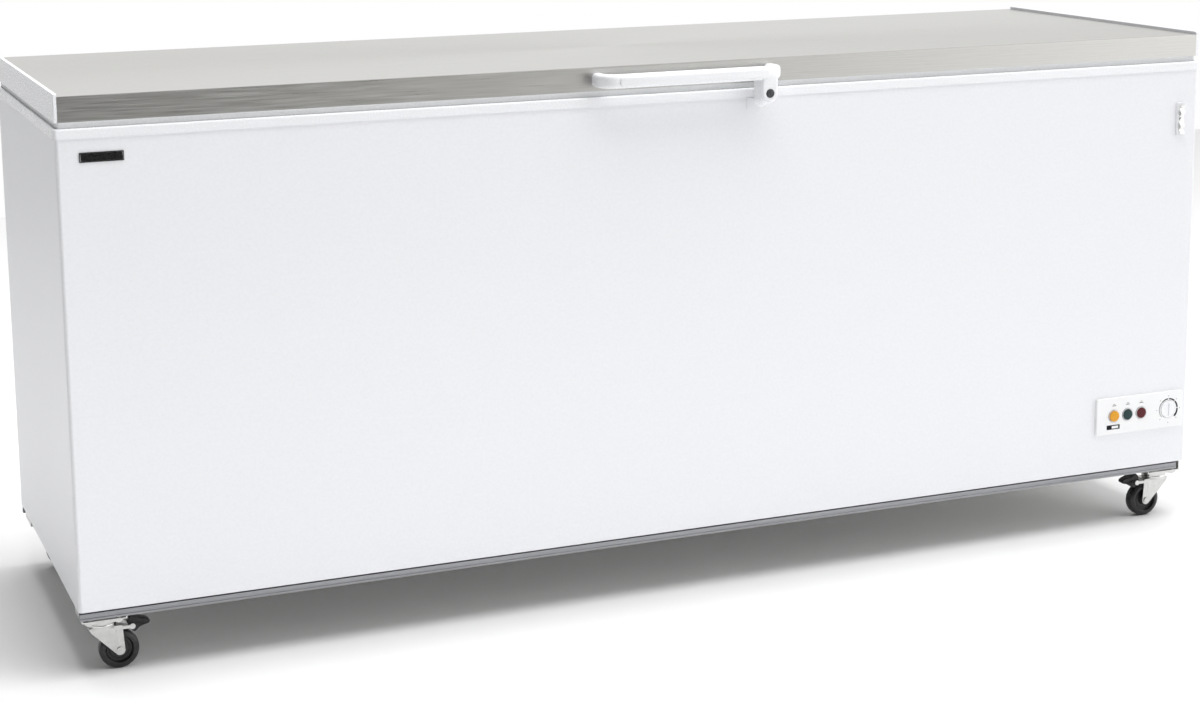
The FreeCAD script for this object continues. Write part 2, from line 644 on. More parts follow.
def make_base_rails():
    """Two galvanised rails under the front and rear edges, closed box sections with a lower lip."""
    rails = []
    for name, face, side in (("front_rail", FRONT, "1"), ("rear_rail", BACK, "-1")):
        rail = pad(name, "YZ", [rail_outline(face, side)], f"{LEFT} + rail_start",
                   "(cabinet_length - rail_start - rail_setback)")
        hollow_low = f"{face} + {side} * (rail_recess + rail_gauge)"
        hollow_high = f"{face} + {side} * (rail_depth - rail_gauge)"
        corners = [(hollow_low, f"{BASE} - rail_gap - rail_height + rail_gauge"),
                   (hollow_high, f"{BASE} - rail_gap - rail_height + rail_gauge"),
                   (hollow_high, f"{BASE} - rail_gap - rail_gauge"),
                   (hollow_low, f"{BASE} - rail_gap - rail_gauge")]
        pocket(rail, "YZ", [corners], f"{LEFT} - rail_start", "(cabinet_length + rail_setback)")
        rails.append(rail)
    node(group("base_rails", rails), "base_rails")


def make_bay_cover():
    """The louvred cover over the compressor bay, screwed to the back panel."""
    cover = pad("bay_cover", "XZ", [bay_opening("cover_margin")], BACK, "cover_gauge",
                circles=[((GLAND_X, GLAND_Z), "gland_radius")])
    slot = rectangle((f"{BAY_LEFT} + bay_width / 2 - louvre_length / 2", f"{BASE} + 4 * cover_margin"),
                     ("louvre_length", "louvre_height"))
    cut = pocket(cover, "XZ", [slot], BACK, "cover_gauge")
    row = cover.newObject("PartDesign::LinearPattern", "louvres")
    row.Originals = [cut]
    row.Direction = (cut.Profile[0], ["V_Axis"])
    bind(row, "Length", "louvre_pitch * (louvre_count - 1)")
    bind(row, "Occurrences", "louvre_count")
    cover.Tip = row
    node(cover, "bay_cover")


GLAND_X = f"({BAY_LEFT} + 3 * cover_margin + gland_flange)"
GLAND_Z = f"({BASE} + 3 * cover_margin + gland_flange)"


def make_cable_gland():
    """The mains inlet: a moulded bush with a flange, through the bay cover."""
    face = f"{BACK} + cover_gauge"
    start = f"{face} + gland_lip - gland_length"
    bush = rod("gland_bush", "Y", (GLAND_X, start, GLAND_Z), "gland_radius", "gland_length")
    flange = rod("gland_collar", "Y", (GLAND_X, face, GLAND_Z), "gland_flange", "gland_collar")
    start = f"{BACK} - gland_length * 2"
    bore = rod("gland_hole", "Y", (GLAND_X, start, GLAND_Z), "gland_bore", "gland_length * 4")
    node(carve("cable_gland", fuse("gland_stock", [bush, flange]), [bore]), "cable_gland")


def make_screws():
    """The cabinet's pan-head screws: hinge leaves, bay cover and key clip."""
    screws = []
    face = f"{BACK} + hinge_gauge"
    for hinge in (-1, 0, 1):
        for side in (-1, 1):
            x = f"{hinge} * hinge_pitch + {side} * hinge_width * 0.3"
            z = f"{TOP} - hinge_height + 2 * screw_radius"
            screws.append(rod("hinge_screw", "Y", (x, face, z), "screw_radius", "screw_head"))
    for across in ("cover_margin * 1.5", "bay_width - cover_margin * 1.5"):
        for up in ("cover_margin * 1.5", "bay_height - cover_margin * 1.5"):
            start = (f"{BAY_LEFT} + {across}", f"{BACK} + cover_gauge", f"{BASE} + {up}")
            screws.append(rod("cover_screw", "Y", start, "screw_radius", "screw_head"))
    start = ("clip_x + clip_width / 2", f"{FRONT} - clip_gauge - clip_lift - clip_wire - screw_head",
             f"{BASE} + clip_z + clip_height / 2")
    screws.append(rod("clip_screw", "Y", start, "screw_radius", "screw_head"))
    node(group("cabinet_screws", screws), "cabinet_screws")


def make_drain():
    """A spout through the floor, and the stopper that closes it inside the tank."""
    low = f"{BASE} + pan_lift - drain_drop"
    length = "floor_thickness - pan_lift + drain_drop"
    pipe = rod("spout_pipe", "Z", ("drain_x", "drain_y", low), "drain_radius", length)
    bore = rod("spout_bore", "Z", ("drain_x", "drain_y", f"{low} - 1"), "drain_bore", f"{length} + 2")
    start = ("drain_x", "drain_y", f"{BASE} + pan_lift - collar_gauge")
    collar = rod("spout_collar", "Z", start, "drain_collar", "collar_gauge")
    node(carve("drain_spout", fuse("spout_stock", [pipe, collar]), [bore]), "drain_spout")
    seat = f"{TANK_FLOOR} + sheet_gauge"
    start = ("drain_x", "drain_y", f"{seat} - plug_stem")
    stem = rod("plug_stem", "Z", start, "drain_bore - plug_play", "plug_stem + 2 * plug_play")
    start = ("drain_x", "drain_y", f"{seat} + 0.4")
    cap = rod("plug_cap", "Z", start, "drain_radius + plug_lip", "plug_gauge")
    grip = block("plug_grip",
                 ("drain_x - grip_width / 2", "drain_y - grip_gauge / 2", f"{seat} + plug_lip"),
                 ("grip_width", "grip_gauge", "grip_height"))
    node(fuse("drain_plug", [stem, cap, grip]), "drain_plug")


# ---------------------------------------------------------------- refrigeration


def coil(name, left, right, front, back, low, turns):
    """A tube wound round a box, each turn climbing by the pitch along its left side."""
    x_low, x_high, y_low, y_high, z = [value_of(text) for text in (left, right, front, back, low)]
    pitch = SIZE["coil_pitch"]
    points = [((x_low + x_high) / 2, y_low, z)]
    for turn in range(turns):
        points += [(x_high, y_low, z), (x_high, y_high, z), (x_low, y_high, z)]
        z += pitch
        points += [(x_low, y_low, z)]
    points += [((x_low + x_high) / 2, y_low, z)]
    feature(name, tube(points, SIZE["coil_bend"], SIZE["tube_radius"]))


def make_coils():
    """The evaporator on the tank, and the condenser inside the wrap."""
    touch = "(tube_radius + 0.3)"
    tank_gap = f"(wall_thickness - {touch})"
    step_top = f"{BAY_TOP} + step_wall + 2 * tube_radius"
    coil("evaporator_coil", f"{LEFT} + {tank_gap}", f"{RIGHT} - {tank_gap}", f"{FRONT} + {tank_gap}",
         f"{BACK} - {tank_gap}", step_top, 6)
    skin_gap = f"(sheet_gauge + {touch})"
    coil("condenser_coil", f"{LEFT} + {skin_gap}", f"{RIGHT} - {skin_gap}", f"{FRONT} + {skin_gap}",
         f"{BACK} - {skin_gap}", f"{step_top} + coil_pitch / 2", 5)


SHELL_LOW = f"({PAN_TOP} + grommet_height)"


def make_compressor():
    """A hermetic compressor: a domed hollow shell with a seam flange, on a foot plate."""
    centre = ("shell_x", "shell_y")
    shell = pad("shell", "XY", [], SHELL_LOW, "shell_height", circles=[(centre, "shell_radius")])
    round_off(shell, "shell_dome", lambda edge: True)
    hollow = pad("shell_space", "XY", [], f"{SHELL_LOW} + shell_wall", "shell_height - 2 * shell_wall",
                 circles=[(centre, "shell_radius - shell_wall")])
    round_off(hollow, "shell_dome - shell_wall", lambda edge: True)
    start = ("shell_x", "shell_y", f"{SHELL_LOW} + shell_height * 0.55")
    seam = rod("seam", "Z", start, "shell_radius + seam_lip", "seam_height")
    plate = rectangle(("shell_x - foot_pitch / 2 - foot_margin", "shell_y - foot_pitch / 2 - foot_margin"),
                      ("(foot_pitch + 2 * foot_margin)", "(foot_pitch + 2 * foot_margin)"))
    foot = pad("foot_plate", "XY", [plate], SHELL_LOW, "foot_gauge")
    round_off(foot, "foot_margin", runs_along("Z"))
    node(carve("compressor", fuse("compressor_stock", [shell, seam, foot]), [hollow]), "compressor")
    grommets = []
    for x in (-1, 1):
        for y in (-1, 1):
            start = (f"shell_x + {x} * foot_pitch / 2", f"shell_y + {y} * foot_pitch / 2", PAN_TOP)
            grommets.append(rod("grommet", "Z", start, "grommet_radius", "grommet_height"))
    node(group("compressor_grommets", grommets), "compressor_grommets")
    case = block("relay_case",
                 ("shell_x - relay_width / 2", "shell_y - shell_radius - relay_reach",
                  f"{SHELL_LOW} + relay_z"),
                 ("relay_width", "relay_depth", "relay_height"))
    round_back = rod("relay_seat", "Z", ("shell_x", "shell_y", SHELL_LOW), "shell_radius", "shell_height")
    node(carve("relay_box", case, [round_back]), "relay_box")


def make_pipes():
    """The filter drier, and the tubes between the compressor, the drier and the coils."""
    x, y = value_of("shell_x"), value_of("shell_y")
    low = value_of(SHELL_LOW)
    roof = value_of(f"{BAY_TOP} - 14")
    front = value_of(f"{FRONT} + 150")
    side = value_of(f"{BAY_LEFT} + 22")
    radius = SIZE["tube_radius"] * 0.75
    drier = rod("drier_can", "Z", (side, front, low + 40), 9, 110)
    necks = [rod("drier_neck", "Z", (side, front, low + start), 5, 14) for start in (30, 146)]
    node(fuse("filter_drier", [drier] + necks), "filter_drier")
    start_x = x - SIZE["shell_radius"] + 0.5
    suction = tube([(start_x, y + 20, low + 70), (start_x - 22, y + 20, low + 70),
                    (start_x - 22, y + 20, roof), (start_x - 22, y + 90, roof)], 11, radius)
    discharge = tube([(start_x, y - 25, low + 60), (start_x - 20, y - 25, low + 60),
                      (start_x - 20, y - 25, roof), (side, front + 40, roof),
                      (side, front, roof), (side, front, low + 160.5)], 10, radius)
    feature("refrigerant_pipes", Part.makeCompound([suction, discharge]))


# ---------------------------------------------------------------- controls


def control_x(text):
    """A place across the panel, from its left edge."""
    return f"panel_x + {text}"


LAMPS = {"switch": "switch_x", "green": "switch_x + lamp_pitch", "red": "switch_x + 2 * lamp_pitch"}


def make_control_panel():
    """A raised moulded plate with holes for the switch, two lamps and the thermostat knob."""
    outline = rectangle(("panel_x", f"{BASE} + panel_z"), ("panel_length", "panel_height"))
    holes = [((control_x(text), CONTROL_Z), "lamp_radius + lamp_play") for text in LAMPS.values()]
    holes.append(((control_x("dial_x"), CONTROL_Z), "knob_radius + lamp_play"))
    panel = pad("control_panel", "XZ", [outline], PANEL_FACE, "panel_proud", circles=holes)
    along = runs_along("Y")
    round_off(panel, "panel_edge", along)
    at_face = lies_at("Y", PANEL_FACE)
    long, short = SIZE["panel_height"] / 2, 2 * SIZE["panel_edge"]
    round_off(panel, "panel_edge * 0.6",
              lambda edge: at_face(edge) and (edge.Length > long or edge.Length < short))
    node(panel, "control_panel")


def make_lamps():
    """Two indicator lamps, the sprung switch button and the switch behind it."""
    for colour in ("green", "red"):
        x = control_x(LAMPS[colour])
        lens = rod("lens", "Y", (x, f"{PANEL_FACE} - lamp_proud", CONTROL_Z), "lamp_radius",
                   "lamp_proud + panel_proud * 0.8")
        start = (x, f"{FRONT} - panel_proud * 0.3", CONTROL_Z)
        holder = rod("holder", "Y", start, "lamp_body", "lamp_depth")
        node(fuse("lamp_" + colour, [lens, holder]), "lamp_" + colour)
    x = control_x(LAMPS["switch"])
    cap = rod("button_cap", "Y", (x, f"{PANEL_FACE} - lamp_proud - 1", CONTROL_Z), "lamp_radius",
              "lamp_proud + 1 + panel_proud * 0.8")
    stem = rod("stem", "Y", (x, f"{FRONT} - panel_proud * 0.3", CONTROL_Z), "button_stem", "14")
    node(fuse("freeze_switch", [cap, stem]), "freeze_switch")
    housing = block("housing", (f"{x} - 12", f"{FRONT} + button_travel + 2", f"{CONTROL_Z} - 12"),
                    ("24", "lamp_depth", "24"))
    bore = rod("stem_bore", "Y", (x, FRONT, CONTROL_Z), "button_stem + lamp_play", "24")
    node(carve("switch_body", housing, [bore]), "switch_body")


def make_thermostat():
    """The thermostat, its shaft, and the flush knob with a coin slot."""
    x = control_x("dial_x")
    case = block("case", (f"{x} - 14", f"{FRONT} + 6", f"{CONTROL_Z} - 17"), ("28", "34", "34"))
    shaft = rod("shaft", "Y", (x, f"{PANEL_FACE} + 1", CONTROL_Z), "shaft_radius", "panel_proud + 8")
    node(fuse("thermostat", [case, shaft]), "thermostat")
    face = f"{PANEL_FACE} - knob_proud"
    knob = pad("thermostat_knob", "XZ", [], face, "knob_depth", circles=[((x, CONTROL_Z), "knob_radius")])
    at_face = lies_at("Y", face)
    round_off(knob, "1", at_face)
    slot = rectangle((f"{x} - knob_slot / 2", f"{CONTROL_Z} - knob_radius * 0.7"),
                     ("knob_slot", "knob_radius * 1.4"))
    pocket(knob, "XZ", [slot], face, "1.4")
    pocket(knob, "XZ", [], f"{PANEL_FACE} + 0.8", "knob_depth",
           circles=[((x, CONTROL_Z), "shaft_radius + shaft_play")])
    node(knob, "thermostat_knob")


def make_front_trim():
    """The blank badge plate, and the key clip: a plate that carries a wavy spring strip."""
    badge = pad("badge_plate", "XZ", [rectangle(("badge_x", f"{BASE} + badge_z"),
                ("badge_length", "badge_height"))], f"{FRONT} - badge_gauge", "badge_gauge")
    round_off(badge, "1", runs_along("Y"))
    node(badge, "badge_plate")
    outline = rectangle(("clip_x", f"{BASE} + clip_z"), ("clip_width", "clip_height"))
    plate = pad("clip_plate", "XZ", [outline], f"{FRONT} - clip_gauge", "clip_gauge")
    round_off(plate, "2", runs_along("Y"))
    round_off(plate, "1", lies_at("Y", f"{FRONT} - clip_gauge"))
    node(plate, "clip_plate")
    feature("wave_clip", wave_strip())


def wave_strip():
    """A strip that lies on the clip plate at its middle and bows away from it towards both ends."""
    width, wire, wave = 9.0, SIZE["clip_wire"], SIZE["clip_wave"]
    length = SIZE["clip_height"] * 0.84
    middle_z = value_of(f"{BASE} + clip_z + clip_height / 2")
    face = value_of(f"{FRONT} - clip_gauge")
    left = value_of("clip_x + clip_width / 2") - width / 2
    near, far = [], []
    steps = 24
    for step in range(steps + 1):
        along = -1 + 2 * step / steps
        beyond_screw = max(0, abs(along) - 0.2) / 0.8
        bow = wave * math.sin(1.5 * math.pi * beyond_screw) ** 2 + SIZE["clip_lift"]
        place = middle_z + along * length / 2
        near.append(FreeCAD.Vector(left, face - bow, place))
        far.append(FreeCAD.Vector(left, face - bow - wire, place))
    back_curve = Part.BSplineCurve()
    back_curve.interpolate(near)
    front_curve = Part.BSplineCurve()
    front_curve.interpolate(far)
    ends = [Part.makeLine(near[-1], far[-1]), Part.makeLine(far[0], near[0])]
    outline = Part.Wire([back_curve.toShape(), ends[0], front_curve.toShape(), ends[1]])
    return Part.Face(outline).extrude(FreeCAD.Vector(width, 0, 0))


# ---------------------------------------------------------------- lid


def make_lid_skin():
    """A stainless sheet over the lid, folded down at the front and the back, between the end caps."""
    high = LID_TOP
    front, back, under = f"{LID_FRONT} + sheet_gauge", f"{LID_BACK} - sheet_gauge", f"{high} - sheet_gauge"
    corners = [(LID_FRONT, LID_LOW), (LID_FRONT, high), (LID_BACK, high), (LID_BACK, LID_LOW),
               (back, LID_LOW), (back, under), (front, under), (front, LID_LOW)]
    skin = pad("lid_skin", "YZ", [corners], f"{LEFT} + cap_width", "(cabinet_length - 2 * cap_width)")
    along = runs_along("X")
    at_top = lies_at("Z", high)
    at_inside = lies_at("Z", f"{high} - sheet_gauge")
    round_off(skin, "lid_bend", lambda edge: along(edge) and at_top(edge))
    round_off(skin, "lid_bend - sheet_gauge", lambda edge: along(edge) and at_inside(edge))
    node(skin, "lid_skin")


def make_end_caps():
    """The moulded caps that close the lid's ends and stand a little above the steel."""
    for name, low in (("end_cap_left", LEFT), ("end_cap_right", f"{RIGHT} - cap_width")):
        outline = rectangle((LID_FRONT, LID_LOW), ("(lid_depth - lid_setback)", "lid_height + cap_rise"))
        cap = pad(name, "YZ", [outline], low, "cap_width")
        round_off(cap, "3", runs_along("X"))
        outer = LEFT if name == "end_cap_left" else RIGHT
        round_off(cap, "cap_edge", lies_at("X", outer))
        node(cap, name)


def plug_block(name, shrink, low, height):
    """The raised middle of the lid's inner panel, smaller by the shrink."""
    outline = rectangle((f"-{PLUG_OUT} / 2 + {shrink}", f"{LID_FRONT} + plug_inset + {shrink}"),
                        (f"({PLUG_OUT} - 2 * {shrink})",
                         f"(cabinet_depth - 2 * plug_inset - 2 * {shrink})"))
    plug = pad(name, "XY", [outline], low, height)
    round_off(plug, f"24 - {shrink}", runs_along("Z"))
    round_off(plug, f"8 - {shrink}", lies_at("Z", low))
    return plug


def make_lid_core():
    """The lid's moulded inner panel, with its raised middle, and the foam above it."""
    low_y = f"{LID_FRONT} + sheet_gauge"
    size = ["(cabinet_length - 2 * cap_width)", "(lid_depth - lid_setback - 2 * sheet_gauge)"]
    left = f"{LEFT} + cap_width"
    sheet = block("liner_sheet", (left, low_y, LID_LOW), size + ["lid_liner_gauge"])
    outer = plug_block("plug_outside", "0", f"{LID_LOW} - plug_depth", "plug_depth + lid_liner_gauge")
    core = plug_block("plug_core", "lid_liner_gauge", f"{LID_LOW} - plug_depth + lid_liner_gauge",
                      "plug_depth + 2 * lid_liner_gauge")
    node(carve("lid_liner", fuse("liner_stock", [sheet, outer]), [core]), "lid_liner")
    filling = pad("lid_filling", "XY", [rectangle((left, low_y), size)], f"{LID_LOW} + lid_liner_gauge",
                  "lid_height - lid_liner_gauge - sheet_gauge")
    along = runs_along("X")
    at_top = lies_at("Z", f"{LID_TOP} - sheet_gauge")
    round_off(filling, "lid_bend - sheet_gauge", lambda edge: along(edge) and at_top(edge))
    node(fuse("lid_foam", [filling, core]), "lid_foam")


def make_gasket():
    """The seal round the lid: a soft ring with a groove along its underside."""
    def ring(inset):
        low = (f"{LEFT} + gasket_inset + {inset}", f"{LID_FRONT} + gasket_inset + {inset}")
        size = (f"(cabinet_length - 2 * gasket_inset - 2 * {inset})",
                f"(cabinet_depth - 2 * gasket_inset - 2 * {inset})")
        return rectangle(low, size)
    low = f"{TOP} + rim_height + gasket_gap"
    seal = pad("lid_gasket", "XY", [ring("0"), ring("gasket_width")], low, "gasket_height")
    round_off(seal, "5", runs_along("Z"))
    groove = [ring("gasket_width / 2 - gasket_slot / 2"), ring("gasket_width / 2 + gasket_slot / 2")]
    pocket(seal, "XY", groove, low, "gasket_slot")
    node(seal, "lid_gasket")


HANDLE_LOW = f"({BASE} + handle_low)"
HANDLE_LEFT = "(handle_centre - handle_length / 2)"
HANDLE_RIGHT = "(handle_centre + handle_length / 2)"
HANDLE_FACE = f"({FRONT} - handle_reach + handle_cover_gauge)"


def make_handle():
    """A moulded D handle with the lock's lug under its right foot, and a cover strip on its front."""
    bar_back = f"{HANDLE_FACE} + handle_bar"
    foot_back = LID_FRONT
    corners = [(HANDLE_LEFT, foot_back), (f"{HANDLE_LEFT} + handle_shoulder", HANDLE_FACE),
               (f"{HANDLE_RIGHT} - handle_shoulder", HANDLE_FACE), (HANDLE_RIGHT, foot_back),
               (f"{HANDLE_RIGHT} - handle_foot", foot_back),
               (f"{HANDLE_RIGHT} - handle_foot - 8", bar_back),
               (f"{HANDLE_LEFT} + handle_foot + 8", bar_back), (f"{HANDLE_LEFT} + handle_foot", foot_back)]
    bar = pad("handle_bow", "XY", [corners], HANDLE_LOW, "handle_height")
    upright = runs_along("Z")
    at_face = lies_at("Y", HANDLE_FACE)
    at_back = lies_at("Y", foot_back)
    round_off(bar, "2 * handle_edge", lambda edge: upright(edge) and at_face(edge))
    round_off(bar, "handle_edge", lambda edge: upright(edge) and not at_back(edge))
    flat = [lies_at("Z", HANDLE_LOW), lies_at("Z", f"{HANDLE_LOW} + handle_height")]
    round_off(bar, "handle_edge", lambda edge: any(test(edge) for test in flat) and not at_back(edge))
    lug = make_lug()
    bore = rod("barrel_bore", "Y", ("lock_x", f"{FRONT} - 60", LOCK_Z), "barrel_radius + barrel_play", "58")
    node(carve("handle_body", fuse("handle_stock", [bar, lug]), [bore]), "handle_body")
    end = "(handle_shoulder + handle_cover_inset + 2 * handle_edge)"
    outline = rectangle((f"{HANDLE_LEFT} + {end}", f"{HANDLE_LOW} + handle_edge / 2"),
                        (f"(handle_length - 2 * {end})", "(handle_height - handle_edge)"))
    cover = pad("handle_cover", "XZ", [outline], f"{FRONT} - handle_reach", "handle_cover_gauge")
    round_off(cover, "cover_corner", runs_along("Y"))
    round_off(cover, "cover_edge", lies_at("Y", f"{FRONT} - handle_reach"))
    node(cover, "handle_cover")


def lug_section(body, back, half_width, centre_z):
    """The lug's outline across the lid: straight sides above, a half circle below."""
    sketch = sketch_on(body, "XZ", f"-({back})")
    half, x, low = value_of(half_width), value_of("lock_x"), value_of(centre_z)
    top = f"{HANDLE_LOW} + handle_edge"
    high = value_of(top)
    corners = [(x + half, low), (x + half, high), (x - half, high), (x - half, low)]
    corners = [FreeCAD.Vector(across, up, 0) for across, up in corners]
    for begin, end in zip(corners, corners[1:]):
        sketch.addGeometry(Part.LineSegment(begin, end))
    circle = Part.Circle(FreeCAD.Vector(x, low, 0), FreeCAD.Vector(0, 0, 1), half)
    arc = sketch.addGeometry(Part.ArcOfCircle(circle, math.pi, 2 * math.pi))
    for first, second in ((0, 1), (1, 2), (2, arc), (arc, 0)):
        sketch.addConstraint(Sketcher.Constraint("Coincident", first, 2, second, 1))
    pin_point(sketch, 1, 1, (f"lock_x + {half_width}", top))
    pin_point(sketch, 1, 2, (f"lock_x - {half_width}", top))
    pin_point(sketch, arc, 3, ("lock_x", centre_z))
    for end in (1, 2):
        number = sketch.addConstraint(Sketcher.Constraint("DistanceY", -1, 1, arc, end, low))
        bind(sketch, f"Constraints[{number}]", centre_z)
    number = sketch.addConstraint(Sketcher.Constraint("Radius", arc, half))
    bind(sketch, f"Constraints[{number}]", half_width)
    return sketch


def make_lug():
    """The boss round the lock, lofted from a large outline at its back to a small one in front."""
    body = DOC.addObject("PartDesign::Body", "lug")
    back = lug_section(body, f"{FRONT} - lug_back", "lug_half_width", f"{LOCK_Z} - lug_drop")
    front = lug_section(body, HANDLE_FACE, "lug_tip", LOCK_Z)
    DOC.recompute()
    boss = body.newObject("PartDesign::AdditiveLoft", "boss")
    boss.Profile = back
    boss.Sections = [front]
    boss.Ruled = True
    round_off(body, "lug_edge", lies_at("Y", HANDLE_FACE))
    return body


def make_lock():
    """The key barrel, its cam behind the lug, and the keeper on the cabinet."""
    cam_y = f"{FRONT} - lug_back + 0.6"
    front = f"{HANDLE_FACE} - barrel_proud"
    barrel = rod("barrel", "Y", ("lock_x", front, LOCK_Z), "barrel_radius",
                 f"({cam_y} - {front})")
    keyway = block("keyway", ("lock_x - 0.8", f"{front} - 1", f"{LOCK_Z} - 4"), ("1.6", "12", "8"))
    node(carve("lock_barrel", barrel, [keyway]), "lock_barrel")
    outer = rod("hook_outer", "Y", ("lock_x", cam_y, LOCK_Z), "cam_outer", "cam_gauge")
    bind(outer, "Angle", "cam_hook")
    inner = rod("hook_inner", "Y", ("lock_x", f"{cam_y} - 1", LOCK_Z), "cam_inner", "cam_gauge + 2")
    hook = carve("hook", outer, [inner])
    arm = block("cam_bar", ("lock_x", cam_y, f"{LOCK_Z} - cam_arm / 2"),
                ("cam_outer - 0.6", "cam_gauge", "cam_arm"))
    hub = rod("cam_hub", "Y", ("lock_x", cam_y, LOCK_Z), "barrel_radius - 1", "cam_gauge")
    node(fuse("lock_cam", [hook, arm, hub]), "lock_cam")
    face = f"{FRONT} - keeper_gauge"
    plate = block("keeper_plate", ("lock_x - 22", face, f"{LOCK_Z} - 30"), ("26", "keeper_gauge", "19"))
    tab = block("keeper_tab", ("lock_x - 14", f"{FRONT} - keeper_reach", f"{LOCK_Z} - 13"),
                ("10", "keeper_reach", "2"))
    node(fuse("lock_keeper", [plate, tab]), "lock_keeper")


# ---------------------------------------------------------------- hinges


def make_hinges():
    """Three rear hinges: a leaf on the cabinet, an arm on the lid and a pin, with a middle knuckle."""
    leaves, arms, pins = [], [], []
    for number in (-1, 0, 1):
        centre = f"{number} * hinge_pitch"
        leaves.append(hinge_leaf(centre))
        arms.append(hinge_arm(centre))
        start = (f"{centre} - 1.5 * knuckle_length - 2", HINGE_Y, HINGE_Z)
        pins.append(rod("pin", "X", start, "pin_radius", "3 * knuckle_length + 4"))
    node(group("hinge_leaves", leaves), "hinge_leaves")
    node(group("hinge_arms", arms), "hinge_arms")
    node(group("hinge_pins", pins), "hinge_pins")


def knuckle_bore(centre, play):
    """The hole for the hinge pin."""
    start = (f"{centre} - 2 * knuckle_length", HINGE_Y, HINGE_Z)
    return rod("pin_bore", "X", start, f"pin_radius + {play}", "4 * knuckle_length")


def hinge_leaf(centre):
    """A plate on the cabinet's back with two cheeks that carry the outer knuckles."""
    low = f"{TOP} - hinge_height - 2"
    pieces = [block("leaf_plate", (f"{centre} - hinge_width / 2", BACK, low),
                    ("hinge_width", "hinge_gauge", "hinge_height"))]
    side = [(f"{BACK} + hinge_gauge", f"{TOP} - hinge_height / 2"), (f"{BACK} + hinge_gauge", f"{TOP} - 2"),
            (f"{HINGE_Y} - knuckle_radius", HINGE_Z), (f"{HINGE_Y} + knuckle_radius", HINGE_Z)]
    for offset in ("-1.5 * knuckle_length", "0.5 * knuckle_length"):
        start = f"{centre} + {offset}"
        pieces.append(pad("leaf_cheek", "YZ", [side], start, "knuckle_length"))
        pieces.append(rod("knuckle", "X", (start, HINGE_Y, HINGE_Z), "knuckle_radius", "knuckle_length"))
    return carve("hinge_leaf", fuse("leaf_stock", pieces), [knuckle_bore(centre, "0")])


def hinge_arm(centre):
    """A plate on the lid's back with a web to the middle knuckle."""
    plate = block("arm_plate", (f"{centre} - hinge_width / 2", LID_BACK, f"{LID_LOW} + 3"),
                  ("hinge_width", "hinge_gauge", "lid_height - 6"))
    start = f"{centre} - 0.5 * knuckle_length + 0.3"
    width = "knuckle_length - 0.6"
    back = f"{LID_BACK} + hinge_gauge / 2"
    side = [(back, f"{LID_LOW} + 3"), (HINGE_Y, f"{HINGE_Z} - knuckle_radius"),
            (HINGE_Y, f"{HINGE_Z} + knuckle_radius"), (back, f"{LID_LOW} + lid_height * 0.6")]
    web = pad("arm_web", "YZ", [side], start, width)
    knuckle = rod("knuckle", "X", (start, HINGE_Y, HINGE_Z), "knuckle_radius", width)
    return carve("hinge_arm", fuse("arm_stock", [plate, web, knuckle]), [knuckle_bore(centre, "pin_play")])


# ---------------------------------------------------------------- castors

CORNERS = {
    "front_left": (f"{LEFT} + castor_inset", f"{FRONT} + castor_inset", 0),
    "front_right": (f"{RIGHT} - castor_inset", f"{FRONT} + castor_inset", 180),
    "rear_left": (f"{LEFT} + castor_inset", f"{BACK} - castor_inset", 0),
    "rear_right": (f"{RIGHT} - castor_inset", f"{BACK} - castor_inset", 180),
}


def stand(item, corner):
    """Puts a castor piece, made about the origin, at its corner and turned to trail inwards."""
    x, y, angle = CORNERS[corner]
    item.Placement.Rotation = FreeCAD.Rotation(FreeCAD.Vector(0, 0, 1), angle)
    return put(item, x, y, "0")


def bolt_holes():
    """The four bolt holes that a castor's bracket and plate share."""
    return [((f"{x} * bolt_pitch / 2", f"{y} * bolt_pitch / 2"), "bolt_radius")
            for x in (-1, 1) for y in (-1, 1)]


def bracket():
    """A folded U bracket, open upwards, that carries one castor."""
    half = "bracket_size / 2"
    low = "castor_height"
    high = "castor_height + bracket_height + pan_lift"
    inner = f"{half} - bracket_gauge"
    corners = [(f"-({half})", low), (half, low), (half, high), (inner, high),
               (inner, f"{low} + bracket_gauge"), (f"-({inner})", f"{low} + bracket_gauge"),
               (f"-({inner})", high), (f"-({half})", high)]
    fold = pad("bracket", "XZ", [corners], "-castor_plate / 2", "castor_plate")
    pocket(fold, "XY", [], low, "bracket_gauge", circles=bolt_holes())
    return fold


def top_plate():
    """The castor's plate, with its four holes and the fixed half of the swivel race below it."""
    outline = rectangle(("-castor_plate / 2", "-castor_plate / 2"), ("castor_plate", "castor_plate"))
    plate = pad("plate", "XY", [outline], "castor_height - plate_gauge", "plate_gauge",
                circles=bolt_holes())
    upright = runs_along("Z")
    round_off(plate, "6", upright)
    cup = rod("cup", "Z", (0, 0, "castor_height - 2 * plate_gauge"), "race_radius + 2", "plate_gauge")
    stud = rod("kingpin", "Z", (0, 0, "cheek_top - 4"), "6", "(castor_height - cheek_top + 2)")
    return fuse("castor_plate", [plate, cup, stud])


